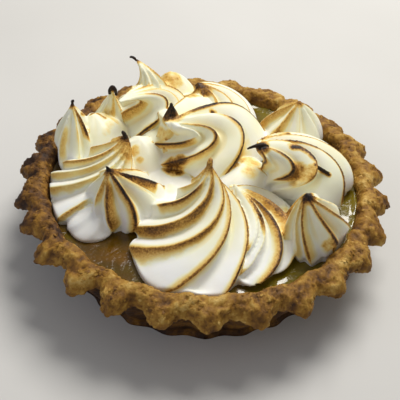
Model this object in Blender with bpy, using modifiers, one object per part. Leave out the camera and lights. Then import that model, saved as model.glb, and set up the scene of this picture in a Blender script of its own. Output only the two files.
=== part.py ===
"""Rhubarb meringue tartlet: a fluted shortcrust shell, its rhubarb filling and a torched piped meringue."""

import math
from random import Random

import bmesh
import bpy
from mathutils import Vector, noise

MM = 0.001

# Crust: a fluted shell, widest at the tips of its rim.
TART_RADIUS = 50.0 * MM
CRUST_HEIGHT = 20.0 * MM
FLUTES = 26
SEGMENTS_PER_FLUTE = 6
FIRST_FLUTE = math.radians(-86.1)
RIM_WIDTH = 6.4 * MM
RIM_DROOP = 1.3 * MM
BASE_RADIUS = 36.0 * MM
FLOOR_THICKNESS = 4.5 * MM
CRUMB_RELIEF = 0.55 * MM
CRUST_SEED = 4

# Filling: a flat pool set into the shell, with the meringue standing on it.
FILLING_TOP = 16.7 * MM
GAP = 0.3 * MM
MERINGUE_BASE = FILLING_TOP + GAP

# Meringue: piped kisses that run together on a low bed.
BED_RADIUS = 30.0 * MM
BED_CENTRE = (-2.0 * MM, 1.0 * MM)
BED_ROWS = ((1.0, 2.5 * MM), (0.8, 6.0 * MM), (0.45, 7.5 * MM))
MERINGUE_REACH = 40.9 * MM
FOOT_BELOW = 1.5 * MM
RIM_CLEARANCE_Z = 21.0 * MM
BASE_TUCK = 0.10
TUCK_LEVEL = 0.12
TIP_LEVEL = 0.99
VALLEY_AT = 0.38
RIDGE_SAMPLES = (0.0, 0.09, 0.19, 0.38, 0.58, 0.79)
LEVEL_COUNT = 22
MIN_RIDGE_GAP = math.radians(12)
SKIN_VOXEL = 0.55 * MM
MERINGUE_TRIANGLES = 8700

# Each kiss: centre and radius of its foot, its tip (x, y, z), how late the axis bends to the tip,
# the two powers of its outline, the power of its twist, how deep the grooves are, and its ridges
# as (angle of the foot, turn up to the tip, reach), in mm and degrees, counter-clockwise from above.
KISSES = {
    "front": dict(
        foot=(-0.8, -24.8), radius=17.5, tip=(1.3, -13.0, 37.3), bend=1.0, outline=(1.45, 1.5),
        twist=1.6, relief=2.6,
        ridges=((133, 159, 1.12), (165, 192, 1.0), (185, 280, 1.0), (249, 210, 1.0), (293, 248, 1.07),
                (345, 230, 1.0), (35, 200, 0.95), (85, 170, 1.0)),
    ),
    "front_left": dict(
        foot=(-18.9, -11.6), radius=10.8, tip=(-24.4, -13.8, 33.3), bend=1.4, outline=(2.9, 1.8),
        twist=0.5, relief=2.4,
        ridges=((165, 31, 1.0), (230, -4, 0.96), (252, 0, 0.94), (273, 37, 0.89), (322, 35, 1.0),
                (35, -13, 1.12), (71, -10, 1.07), (119, 31, 1.0)),
    ),
    "left": dict(
        foot=(-30.3, -6.6), radius=14.6, tip=(-20.6, -0.5, 33.2), bend=1.4, outline=(1.1, 0.86),
        twist=1.7, relief=2.6,
        ridges=((129, 141, 0.95), (155, 148, 0.95), (182, 172, 1.0), (240, 126, 1.06), (290, 130, 1.0),
                (335, 130, 1.0), (25, 130, 1.0), (80, 130, 0.95)),
    ),
    "far_left": dict(
        foot=(-34.6, 6.5), radius=6.6, tip=(-36.5, 11.1, 34.0), bend=0.8, outline=(3.0, 1.4),
        twist=2.4, relief=1.2,
        ridges=((184, 37, 0.94), (232, 15, 1.0), (285, 17, 1.0), (321, 21, 0.96), (52, 15, 1.0),
                (110, 18, 0.95)),
    ),
    "peak": dict(
        foot=(-16.0, 25.0), radius=10.3, tip=(-21.5, 28.3, 37.9), bend=8.5, outline=(1.1, 0.78),
        twist=0.7, relief=1.6,
        ridges=((7, 114, 0.98), (45, 76, 1.0), (85, 72, 1.0), (122, 92, 1.02), (170, 68, 1.0),
                (215, 68, 1.0), (265, 68, 1.0), (310, 68, 1.0)),
    ),
    "back_left": dict(
        foot=(-14.9, 23.0), radius=15.6, tip=(-24.7, 9.1, 35.9), bend=7.7, outline=(1.3, 0.79),
        twist=2.6, relief=2.2,
        ridges=((150, 101, 1.0), (195, 101, 1.04), (240, 175, 1.0), (285, 165, 1.0), (330, 155, 1.0),
                (15, 155, 1.0), (60, 155, 1.0), (100, 155, 1.0)),
    ),
    "centre": dict(
        foot=(-1.0, 13.0), radius=18.2, tip=(-9.8, 4.0, 34.9), bend=9.0, outline=(1.8, 0.5),
        twist=2.1, relief=2.8,
        ridges=((178, 134, 1.05), (217, 128, 1.0), (287, 109, 0.87), (22, 38, 1.13), (70, 60, 1.0),
                (120, 110, 1.0)),
    ),
    "centre_tip": dict(
        foot=(-9.4, 7.2), radius=7.2, tip=(-9.8, 7.8, 38.2), bend=3.0, outline=(2.0, 1.1),
        twist=1.0, relief=0.5,
        ridges=((20, 40, 1.0), (90, 40, 1.0), (160, 40, 1.0), (230, 40, 1.0), (300, 40, 1.0)),
    ),
    "right": dict(
        foot=(27.8, 2.8), radius=12.8, tip=(13.9, -4.1, 35.3), bend=3.0, outline=(2.4, 0.6),
        twist=2.5, relief=2.4,
        ridges=((140, 80, 1.0), (180, 80, 1.0), (204, 143, 1.0), (216, 227, 1.0), (316, 119, 1.0),
                (1, 119, 1.0), (46, 119, 1.0), (86, 119, 1.0)),
    ),
    "back_right": dict(
        foot=(24.1, 21.6), radius=10.3, tip=(25.3, 22.2, 31.3), bend=2.8, outline=(2.2, 1.1),
        twist=1.0, relief=1.6,
        ridges=((20, 9, 0.94), (65, 9, 1.0), (115, 9, 1.0), (165, 9, 1.0), (224, 9, 1.0),
                (275, 9, 0.95), (325, 9, 1.0)),
    ),
    "back": dict(
        foot=(2.0, 26.5), radius=13.0, tip=(-3.5, 26.0, 32.5), bend=4.0, outline=(2.0, 0.9),
        twist=1.5, relief=1.6,
        ridges=((15, 120, 1.0), (65, 120, 1.0), (115, 120, 1.0), (165, 120, 1.0), (215, 120, 1.0),
                (265, 120, 1.0), (315, 120, 1.0)),
    ),
    "right_front": dict(
        foot=(28.8, -19.4), radius=9.4, tip=(25.0, -20.5, 34.3), bend=3.0, outline=(1.92, 0.84),
        twist=1.29, relief=2.0,
        ridges=((22, -57, 1.02), (65, -60, 1.0), (115, -44, 1.0), (165, -44, 1.0), (210, -44, 1.0),
                (244, -54, 0.96), (265, -55, 1.0), (323, -46, 0.94)),
    ),
    "front_right": dict(
        foot=(13.0, -19.6), radius=15.8, tip=(7.5, -12.2, 29.0), bend=1.3, outline=(2.43, 1.56),
        twist=1.0, relief=2.2,
        ridges=((22, 94, 0.91), (60, 80, 0.9), (110, 80, 0.9), (155, 85, 0.9), (209, 142, 1.0),
                (252, 82, 1.14), (264, 112, 1.14), (299, 121, 1.0)),
    ),
    "middle": dict(
        foot=(-10.0, -3.0), radius=12.0, tip=(-12.0, -2.0, 22.6), bend=3.0, outline=(2.6, 0.6),
        twist=1.2, relief=0.3,
        ridges=((20, 60, 1.0), (80, 60, 1.0), (140, 60, 1.0), (200, 60, 1.0), (260, 60, 1.0),
                (320, 60, 1.0)),
    ),
    "left_skirt": dict(
        foot=(-28.0, -18.6), radius=6.4, tip=(-27.0, -16.0, 22.2), bend=1.0, outline=(2.2, 0.8),
        twist=1.2, relief=0.3,
        ridges=((20, 60, 1.0), (80, 60, 1.0), (140, 60, 1.0), (200, 60, 1.0), (260, 60, 1.0),
                (320, 60, 1.0)),
    ),
    "inner_fold": dict(
        foot=(-17.0, 4.0), radius=9.0, tip=(-17.5, 5.0, 28.0), bend=2.0, outline=(2.4, 0.8),
        twist=1.2, relief=0.3,
        ridges=((20, 60, 1.0), (80, 60, 1.0), (140, 60, 1.0), (200, 60, 1.0), (260, 60, 1.0),
                (320, 60, 1.0)),
    ),
    "right_middle": dict(
        foot=(10.0, 1.0), radius=9.5, tip=(9.5, 1.5, 23.6), bend=1.0, outline=(2.6, 0.6),
        twist=1.2, relief=0.3,
        ridges=((20, 60, 1.0), (80, 60, 1.0), (140, 60, 1.0), (200, 60, 1.0), (260, 60, 1.0),
                (320, 60, 1.0)),
    ),
    "loop": dict(
        foot=(-27.5, 19.5), radius=6.4, tip=(-26.3, 18.6, 34.0), bend=3.0, outline=(1.9, 1.5),
        twist=1.0, relief=0.8,
        ridges=((10, 60, 1.0), (60, 60, 1.0), (110, 60, 1.0), (160, 60, 1.0), (205, 60, 1.0),
                (255, 60, 1.0), (310, 60, 1.0)),
    ),
    "left_middle": dict(
        foot=(-28.5, 11.5), radius=9.0, tip=(-31.0, 13.0, 28.8), bend=3.0, outline=(2.4, 0.7),
        twist=1.2, relief=0.3,
        ridges=((20, 60, 1.0), (80, 60, 1.0), (140, 60, 1.0), (200, 60, 1.0), (260, 60, 1.0),
                (320, 60, 1.0)),
    ),
    "back_fold": dict(
        foot=(-9.5, 31.0), radius=7.5, tip=(-11.5, 32.5, 31.0), bend=2.0, outline=(2.6, 0.7),
        twist=1.0, relief=0.3,
        ridges=((20, 30, 1.0), (80, 30, 1.0), (140, 30, 1.0), (200, 30, 1.0), (260, 30, 1.0),
                (320, 30, 1.0)),
    ),
}


def clear_scene():
    for item in list(bpy.data.objects):
        bpy.data.objects.remove(item, do_unlink=True)


def new_collection(name):
    group = bpy.data.collections.new(name)
    bpy.context.scene.collection.children.link(group)
    return group


def principled(name, colour, roughness):
    material = bpy.data.materials.new(name)
    material.use_nodes = True
    shader = material.node_tree.nodes["Principled BSDF"]
    shader.inputs["Base Color"].default_value = (*colour, 1.0)
    shader.inputs["Roughness"].default_value = roughness
    shader.inputs["Metallic"].default_value = 0.0
    return material


def loft(name, rings, group):
    """Joins rings of equal length with quads and closes the first and the last with a fan."""
    bm = bmesh.new()
    rows = [[bm.verts.new(point) for point in ring] for ring in rings]
    count = len(rows[0])
    for low, high in zip(rows, rows[1:]):
        for i in range(count):
            j = (i + 1) % count
            bm.faces.new((low[i], low[j], high[j], high[i]))
    for row, turned in ((rows[0], True), (rows[-1], False)):
        middle = bm.verts.new(sum((vert.co for vert in row), Vector()) / count)
        for i in range(count):
            j = (i + 1) % count
            fan = (row[j], row[i], middle) if turned else (row[i], row[j], middle)
            bm.faces.new(fan)
    bmesh.ops.recalc_face_normals(bm, faces=bm.faces)
    bmesh.ops.triangulate(bm, faces=bm.faces)
    mesh = bpy.data.meshes.new(name)
    bm.to_mesh(mesh)
    bm.free()
    solid = bpy.data.objects.new(name, mesh)
    group.objects.link(solid)
    return solid


def flute_pattern():
    """Returns wave(angle): 1 on a flute's tip, -1 in a valley, each flute a little different."""
    rng = Random(CRUST_SEED)
    height = [rng.uniform(0.75, 1.15) for _ in range(FLUTES)]
    shift = [rng.uniform(-0.16, 0.16) for _ in range(FLUTES)]

    def wave(angle):
        turn = (angle - FIRST_FLUTE) / (2 * math.pi) * FLUTES
        nearest = round(turn)
        offset = turn - nearest
        here = nearest % FLUTES
        side = (here + (1 if offset > 0 else -1)) % FLUTES
        share = abs(offset)
        gain = height[here] * (1 - share) + height[side] * share
        lean = shift[here] * (1 - share) + shift[side] * share
        return gain * math.cos(2 * math.pi * (offset - lean * (1 - 2 * share)))

    return wave


def crust_profile():
    """Rows of (radius, height, flute depth, crumb share), from the foot over the rim to the floor."""
    lip = TART_RADIUS - 1.9 * MM
    inner = lip - RIM_WIDTH
    top = CRUST_HEIGHT
    return (
        (BASE_RADIUS, 0.0, 0.5 * MM, 0.0),
        (BASE_RADIUS + 1.3 * MM, 0.7 * MM, 0.6 * MM, 0.3),
        (BASE_RADIUS + 4.0 * MM, 0.30 * top, 0.9 * MM, 0.6),
        (BASE_RADIUS + 6.6 * MM, 0.55 * top, 1.2 * MM, 0.8),
        (BASE_RADIUS + 8.2 * MM, 0.70 * top, 1.5 * MM, 0.8),
        (lip - 0.5 * MM, 0.755 * top, 2.1 * MM, 1.0),
        (lip, 0.84 * top, 2.0 * MM, 1.0),
        (lip - 0.9 * MM, 0.94 * top, 1.7 * MM, 1.0),
        (lip - 2.9 * MM, 1.00 * top, 1.0 * MM, 1.0),
        (lip - 5.0 * MM, 0.99 * top, 0.6 * MM, 0.9),
        (inner, 0.92 * top, 0.35 * MM, 0.5),
        (inner - 0.5 * MM, FILLING_TOP, 0.0, 0.0),
        (BASE_RADIUS + 2.2 * MM, 0.47 * top, 0.0, 0.0),
        (BASE_RADIUS - 0.9 * MM, FLOOR_THICKNESS, 0.0, 0.0),
    )


def crust(group):
    wave = flute_pattern()
    count = FLUTES * SEGMENTS_PER_FLUTE
    rings = []
    for radius, height, flute, crumb in crust_profile():
        ring = []
        for i in range(count):
            angle = FIRST_FLUTE + 2 * math.pi * i / count
            lobe = wave(angle)
            spot = Vector((math.cos(angle) * radius, math.sin(angle) * radius, height))
            grain = noise.noise(spot / (4.0 * MM)) + 0.6 * noise.noise(spot / (1.7 * MM))
            out = radius + flute * lobe + CRUMB_RELIEF * crumb * grain
            lift = CRUMB_RELIEF * crumb * noise.noise(spot / (2.6 * MM) + Vector((9.0, 0.0, 0.0)))
            share = (radius - BASE_RADIUS) / (TART_RADIUS - BASE_RADIUS) if flute > 0.3 * MM else 0.0
            droop = RIM_DROOP * max(lobe, -0.4) * share**3 if height > 0.6 * CRUST_HEIGHT else 0.0
            z = height + lift * (1.0 if height > 0.01 * MM else 0.0) - droop
            ring.append((math.cos(angle) * out, math.sin(angle) * out, min(z, CRUST_HEIGHT + 0.6 * MM)))
        rings.append(ring)
    return loft("crust", rings, group)


def filling(group):
    """Fills the shell from its floor to FILLING_TOP, clear of it by GAP all round."""
    rows = crust_profile()
    wall = [rows[-1][:2], rows[-2][:2], rows[-3][:2]]
    count = 2 * FLUTES
    heights = (wall[0][1] + GAP, wall[1][1], FILLING_TOP - 0.8 * MM, FILLING_TOP)
    pull = (1.5 * GAP, 1.5 * GAP, 1.5 * GAP, 2.0 * GAP)
    rings = []
    for height, inset in zip(heights, pull):
        pair = (wall[0], wall[1]) if height <= wall[1][1] else (wall[1], wall[2])
        (low_r, low_z), (high_r, high_z) = pair
        share = (height - low_z) / (high_z - low_z)
        radius = (low_r + (high_r - low_r) * share - inset) * math.cos(math.pi / count)
        rings.append([
            (math.cos(2 * math.pi * i / count) * radius, math.sin(2 * math.pi * i / count) * radius, height)
            for i in range(count)
        ])
    return loft("filling", rings, group)


def ridge_angles(ridges, twist, level):
    """Angles of the ridges at one level, kept in order so that none crosses the next."""
    angles = []
    last = None
    lap = 0.0
    for foot, turn, _ in ridges:
        start = math.radians(foot)
        if last is not None and start + lap < last:
            lap += 2 * math.pi
        last = start + lap
        angles.append(last + math.radians(turn) * level**twist)
    for i in range(1, len(angles)):
        angles[i] = max(angles[i], angles[i - 1] + MIN_RIDGE_GAP)
    over = angles[-1] - (angles[0] + 2 * math.pi - MIN_RIDGE_GAP)
    if over > 0:
        span = angles[-1] - angles[0]
        angles = [angles[0] + (a - angles[0]) * (span - over) / span for a in angles]
    return angles


def valley(share):
    """Depth of the groove from one ridge (0) to the next (1): a steep flank, then a long swell."""
    if share < VALLEY_AT:
        return math.sin(0.5 * math.pi * share / VALLEY_AT)
    return (1 - (share - VALLEY_AT) / (1 - VALLEY_AT)) ** 1.6


def outline_at(kiss, level):
    """Radius and height of a kiss's outline at a level from 0 (foot) to 1 (tip)."""
    first, second = kiss["outline"]
    radius = kiss["radius"] * MM * max(0.0, 1 - level**first) ** second
    if level < TUCK_LEVEL:
        radius *= 1 - BASE_TUCK * (1 - level / TUCK_LEVEL) ** 2
    return radius, MERINGUE_BASE + (kiss["tip"][2] * MM - MERINGUE_BASE) * level


def outline_normal(kiss, level):
    """Outward direction of the outline at a level, as (radial, upward)."""
    step = 0.001
    low_radius, low_height = outline_at(kiss, max(0.0, level - step))
    high_radius, high_height = outline_at(kiss, min(1.0, level + step))
    normal = Vector((high_height - low_height, low_radius - high_radius))
    return normal.normalized()


def kiss_ring(kiss, level):
    """One section of a kiss: ridges lie on its outline, and grooves are sunk square to it."""
    radius, height = outline_at(kiss, level)
    radial, upward = outline_normal(kiss, level)
    tip = Vector(kiss["tip"][:2]) * MM
    middle = (Vector(kiss["foot"]) * MM).lerp(tip, level ** kiss["bend"])
    angles = ridge_angles(kiss["ridges"], kiss["twist"], level)
    reaches = [1 + (reach - 1) * (1 - level) ** 1.5 for _, _, reach in kiss["ridges"]]
    fade = min(1.0, radius / (0.45 * kiss["radius"] * MM)) ** 0.8
    ring = []
    for i, angle in enumerate(angles):
        after = (i + 1) % len(angles)
        gap = (angles[after] - angle) % (2 * math.pi)
        relief = kiss["relief"] * MM * min(1.3, math.sqrt(gap / math.radians(45))) * fade
        relief = min(relief, 0.4 * radius)
        for share in RIDGE_SAMPLES:
            turn = angle + gap * share
            reach = reaches[i] * (1 - share) + reaches[after] * share
            sunk = relief * valley(share)
            out = radius * reach - radial * sunk
            z = height - upward * sunk
            ring.append(inside_rim(middle.x + out * math.cos(turn), middle.y + out * math.sin(turn), z))
    return ring


def inside_rim(x, y, z):
    """Keeps the meringue off the crust's rim below the rim's top."""
    far = math.hypot(x, y)
    limit = MERINGUE_REACH + max(0.0, z - RIM_CLEARANCE_Z) * 0.8
    pull = min(1.0, limit / far) if far > 0 else 1.0
    return (x * pull, y * pull, z)


def kiss_solid(name, kiss, group):
    foot = [(x, y, MERINGUE_BASE - FOOT_BELOW) for x, y, _ in kiss_ring(kiss, 0.0)]
    levels = [(step / LEVEL_COUNT) ** 0.9 for step in range(LEVEL_COUNT)]
    rings = [foot] + [kiss_ring(kiss, level) for level in levels] + [kiss_ring(kiss, TIP_LEVEL)]
    return loft(name, rings, group)


def bed_solid(group):
    """The low mound under the kisses that closes the gaps between them."""
    count = 36
    rings = []
    for share, rise in ((1.0, -FOOT_BELOW), *BED_ROWS):
        radius = BED_RADIUS * share
        rings.append([
            (BED_CENTRE[0] + radius * math.cos(2 * math.pi * i / count),
             BED_CENTRE[1] + radius * math.sin(2 * math.pi * i / count), MERINGUE_BASE + rise)
            for i in range(count)
        ])
    return loft("bed", rings, group)


def boolean(solid, operation, group):
    """Applies one Boolean with a whole collection, then removes the collection's objects."""
    step = solid.modifiers.new(operation.lower(), "BOOLEAN")
    step.operation = operation
    step.solver = "MANIFOLD"
    step.operand_type = "COLLECTION"
    step.collection = group
    bpy.context.view_layer.objects.active = solid
    bpy.ops.object.modifier_apply(modifier=step.name)
    for item in list(group.objects):
        bpy.data.objects.remove(item, do_unlink=True)


def one_skin(solid):
    """Remeshes the joined kisses as one even skin, then thins it to its triangle count."""
    remesh = solid.modifiers.new("skin", "REMESH")
    remesh.mode = "VOXEL"
    remesh.voxel_size = SKIN_VOXEL
    bpy.context.view_layer.objects.active = solid
    bpy.ops.object.modifier_apply(modifier=remesh.name)
    thin = solid.modifiers.new("thin", "DECIMATE")
    thin.use_collapse_triangulate = True
    thin.ratio = MERINGUE_TRIANGLES / (2 * len(solid.data.polygons))
    bpy.ops.object.modifier_apply(modifier=thin.name)


def meringue(group, cutters):
    mass = bed_solid(group)
    mass.name = "meringue"
    mass.data.name = "meringue"
    for name, kiss in KISSES.items():
        kiss_solid("kiss_" + name, kiss, cutters)
    boolean(mass, "UNION", cutters)
    one_skin(mass)
    depth = 10 * MM
    bpy.ops.mesh.primitive_cube_add(size=1.0, location=(0.0, 0.0, MERINGUE_BASE - depth / 2))
    slab = bpy.context.object
    slab.name = "slab"
    slab.scale = (4 * TART_RADIUS, 4 * TART_RADIUS, depth)
    for owner in list(slab.users_collection):
        owner.objects.unlink(slab)
    cutters.objects.link(slab)
    bpy.context.view_layer.update()
    boolean(mass, "DIFFERENCE", cutters)
    return mass


def triangulate(solid):
    bm = bmesh.new()
    bm.from_mesh(solid.data)
    bmesh.ops.triangulate(bm, faces=bm.faces)
    bm.to_mesh(solid.data)
    bm.free()


def main():
    clear_scene()
    parts = new_collection("rhubarb_meringue_tartlet")
    cutters = new_collection("cutters")
    looks = {
        "crust": principled("baked_shortcrust", (0.52, 0.30, 0.11), 0.75),
        "filling": principled("rhubarb_filling", (0.42, 0.26, 0.04), 0.2),
        "meringue": principled("torched_meringue", (0.90, 0.86, 0.74), 0.55),
    }
    solids = [crust(parts), filling(parts), meringue(parts, cutters)]
    for solid in solids:
        solid.data.materials.clear()
        solid.data.materials.append(looks[solid.name])
    triangulate(solids[-1])
    for solid in solids:
        print(solid.name, len(solid.data.polygons), "faces")


main()
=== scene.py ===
# Rhubarb meringue tartlet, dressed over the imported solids: fluted crust, rhubarb curd, torched kisses.

import math
from random import Random

import bmesh
import bpy
import numpy as np
from mathutils import Matrix, Vector


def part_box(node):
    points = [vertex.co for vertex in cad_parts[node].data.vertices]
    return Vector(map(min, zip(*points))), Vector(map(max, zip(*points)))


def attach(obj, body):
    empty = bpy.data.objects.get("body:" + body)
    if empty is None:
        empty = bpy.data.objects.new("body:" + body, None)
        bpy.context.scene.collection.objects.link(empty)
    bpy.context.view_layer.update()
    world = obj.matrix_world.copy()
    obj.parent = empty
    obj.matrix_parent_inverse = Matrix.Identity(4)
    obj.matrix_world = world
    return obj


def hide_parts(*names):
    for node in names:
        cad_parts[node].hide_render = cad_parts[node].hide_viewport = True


mm = 0.001

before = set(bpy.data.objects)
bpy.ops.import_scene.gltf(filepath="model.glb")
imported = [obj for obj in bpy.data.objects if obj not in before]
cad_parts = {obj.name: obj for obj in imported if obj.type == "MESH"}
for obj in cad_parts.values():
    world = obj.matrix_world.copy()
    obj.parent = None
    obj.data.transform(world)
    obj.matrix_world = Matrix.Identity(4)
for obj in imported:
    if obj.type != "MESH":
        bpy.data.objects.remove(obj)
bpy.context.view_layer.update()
crustLow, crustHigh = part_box("crust")
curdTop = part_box("filling")[1].z
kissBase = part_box("meringue")[0].z
tartRadius = 0.5 * (crustHigh.x - crustLow.x) + 0.4 * mm
print("frame loaded, tart radius", round(tartRadius / mm, 1), "mm")


class Wire:
    # an output socket; arithmetic on it adds Math nodes to its tree
    def __init__(self, bench, socket):
        self.bench = bench
        self.socket = socket

    def __add__(self, other):
        return self.bench.maths("ADD", self, other)

    def __sub__(self, other):
        return self.bench.maths("SUBTRACT", self, other)

    def __mul__(self, other):
        return self.bench.maths("MULTIPLY", self, other)

    def __truediv__(self, other):
        return self.bench.maths("DIVIDE", self, other)

    def __radd__(self, other):
        return self.bench.maths("ADD", other, self)

    def __rsub__(self, other):
        return self.bench.maths("SUBTRACT", other, self)

    def __rmul__(self, other):
        return self.bench.maths("MULTIPLY", other, self)

    def __neg__(self):
        return self.bench.maths("MULTIPLY", self, -1.0)

    def __abs__(self):
        return self.bench.maths("ABSOLUTE", self)

    def atLeast(self, other):
        return self.bench.maths("MAXIMUM", self, other)

    def over(self, other):
        # 1 where it is larger, 0 elsewhere
        return self.bench.maths("GREATER_THAN", self, other)

    def rise(self, low, high):
        # soft step: 0 at low, 1 at high
        ends = {"Value": self, "From Min": low, "From Max": high}
        return self.bench.add("ShaderNodeMapRange", {"interpolation_type": "SMOOTHSTEP"}, ends)

    def grain(self, size, detail=2.0, roughness=0.5):
        # at a place: noise around 0.5 whose grains are about size metres wide
        sockets = {"Vector": self, "Scale": 0.55 / size, "Detail": detail, "Roughness": roughness}
        return self.bench.add("ShaderNodeTexNoise", None, sockets)

    def split(self):
        # of a vector: its X, with the parts Y and Z beside it
        return self.bench.add("ShaderNodeSeparateXYZ", None, {0: self})

    def part(self, name):
        # another output of the same node
        return Wire(self.bench, self.socket.node.outputs[name])


class Bench:
    # adds nodes to one tree; a Wire among the values of a node's sockets becomes a link
    def __init__(self, tree):
        self.tree = tree

    def add(self, kind, settings=None, sockets=None, out=0):
        node = self.tree.nodes.new(kind)
        for name, value in (settings or {}).items():
            if name == "stops":
                stops = node.color_ramp.elements
                while len(stops) < len(value):
                    stops.new(0.5)
                for stop, (place, colour) in zip(stops, value):
                    stop.position = place
                    stop.color = (*colour, 1.0)
            else:
                setattr(node, name, value)
        for name, value in (sockets or {}).items():
            if isinstance(value, Wire):
                self.tree.links.new(value.socket, node.inputs[name])
            else:
                node.inputs[name].default_value = value
        return Wire(self, node.outputs[out])

    def maths(self, operation, *values):
        return self.add("ShaderNodeMath", {"operation": operation}, dict(enumerate(values)))

    def named(self, name):
        # a field on the geometry
        return self.add("GeometryNodeInputNamedAttribute", {"data_type": "FLOAT"}, {"Name": name})

    def store(self, geometry, name, value, domain="POINT"):
        settings = {"data_type": "FLOAT", "domain": domain}
        sockets = {"Geometry": geometry, "Name": name, "Value": value}
        return self.add("GeometryNodeStoreNamedAttribute", settings, sockets)

    def geometryOf(self, thing):
        return self.add("GeometryNodeObjectInfo", None, {"Object": thing}).part("Geometry")

    def swell(self, geometry, distance):
        # moves every point along its normal
        sockets = {0: self.add("GeometryNodeInputNormal"), "Scale": distance}
        offset = self.add("ShaderNodeVectorMath", {"operation": "SCALE"}, sockets)
        return self.add("GeometryNodeSetPosition", None, {"Geometry": geometry, "Offset": offset})


class Paint(Bench):
    # a material's tree, with its shader and the place on the object; steady is the same all over
    def __init__(self, name, steady):
        self.material = bpy.data.materials.new(name)
        self.material.use_nodes = True
        super().__init__(self.material.node_tree)
        self.shader = self.tree.nodes["Principled BSDF"]
        for socket, value in steady.items():
            self.shader.inputs[socket].default_value = value
        self.place = self.add("ShaderNodeTexCoord").part("Object")

    def field(self, name):
        # a field on the geometry, as a material reads it
        return self.add("ShaderNodeAttribute", {"attribute_name": name}).part("Fac")

    def feed(self, socket, wire):
        self.tree.links.new(wire.socket, self.shader.inputs[socket])

    def tones(self, stops, share):
        # colours from a ramp; each stop is a share and a colour
        self.feed("Base Color", self.add("ShaderNodeValToRGB", {"stops": stops}, {"Fac": share}))

    def bump(self, height, strength, depth):
        sockets = {"Height": height, "Strength": strength, "Distance": depth}
        self.feed("Normal", self.add("ShaderNodeBump", None, sockets))


def newObject(name, mesh):
    thing = bpy.data.objects.new(name, mesh)
    bpy.context.scene.collection.objects.link(thing)
    return thing


def geometryTree(name, inputs):
    # an empty Geometry Nodes tree; returns its bench, and the wires of its inputs by name
    tree = bpy.data.node_groups.new(name, "GeometryNodeTree")
    tree.interface.new_socket("Geometry", in_out="INPUT", socket_type="NodeSocketGeometry")
    tree.interface.new_socket("Geometry", in_out="OUTPUT", socket_type="NodeSocketGeometry")
    for title, kind in inputs.items():
        tree.interface.new_socket(title, in_out="INPUT", socket_type="NodeSocket" + kind)
    bench = Bench(tree)
    first = bench.add("NodeGroupInput")
    outputs = first.socket.node.outputs
    return bench, {socket.name: Wire(bench, socket) for socket in outputs if socket.name}


def closeTree(bench, geometry, material, smooth=True):
    if smooth:
        geometry = bench.add("GeometryNodeSetShadeSmooth", None, {"Geometry": geometry})
    whole = bench.add("GeometryNodeRealizeInstances", None, {"Geometry": geometry})
    dressed = bench.add("GeometryNodeSetMaterial", None, {"Geometry": whole, "Material": material})
    last = bench.tree.nodes.new("NodeGroupOutput")
    bench.tree.links.new(dressed.socket, last.inputs[0])


def runTree(thing, tree, values):
    # gives the object the tree, sets its inputs by identifier, and turns the result into a plain mesh
    step = thing.modifiers.new(tree.name, "NODES")
    step.node_group = tree
    for item in tree.interface.items_tree:
        if item.in_out == "INPUT" and item.name in values:
            step[item.identifier] = values[item.name]
    depsgraph = bpy.context.evaluated_depsgraph_get()
    mesh = bpy.data.meshes.new_from_object(thing.evaluated_get(depsgraph))
    thing.modifiers.clear()
    thing.data = mesh


def smoothstep(value, low, high):
    share = np.clip((value - low) / (high - low), 0.0, 1.0)
    return share * share * (3 - 2 * share)


def spot(points, place, reach, edges):
    # 1 near the place, falling to 0 between the two edges, which are shares of the reach
    far = np.linalg.norm(points - place, axis=1)
    return 1 - smoothstep(far, edges[0] * reach, edges[1] * reach)


def storeFloat(mesh, name, values):
    field = mesh.attributes.get(name) or mesh.attributes.new(name, "FLOAT", "POINT")
    field.data.foreach_set("value", np.asarray(values, np.float32))


def readFloat(mesh, name):
    values = np.zeros(len(mesh.vertices), np.float32)
    mesh.attributes[name].data.foreach_get("value", values)
    return values


def readPoints(mesh):
    points = np.zeros(len(mesh.vertices) * 3, np.float32)
    mesh.vertices.foreach_get("co", points)
    return points.reshape(-1, 3).astype(float)


# The meringue is piped kisses with twisted ridges, run together into one skin.
# Each kiss, in mm: foot, radius, tip, groove (how deep between the ridges), char (how far the tip is
# burnt, then how strongly) and nose (how round the tip is). bend, outline and twist are powers: how late
# it leans, how it narrows, and how late its ridges turn.
# A ridge is foot angle, turn to the tip and reach, then its torching: crest line, flank below the crest,
# flank above it, the levels between which it shows, and the depth of the valley that follows it.
plainTorch = (0.4, 0.3, 0.1, 0.16, 0.95, 1.0)


def plainRidges(spacing, turn):
    # even ridges that the flame didn't reach
    return tuple((angle, turn, 1.0, 0.0, 0.0, 0.0) for angle in range(20, 360, spacing))


def plainFold(foot, radius, tip, bend, outline, twist=1.2, turn=60):
    # a smooth pale fold that fills in between the kisses
    return dict(
        foot=foot, radius=radius, tip=tip, bend=bend, outline=outline, twist=twist, groove=0.3,
        char=(1.0, 0.0), ridges=plainRidges(60, turn),
    )


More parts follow.
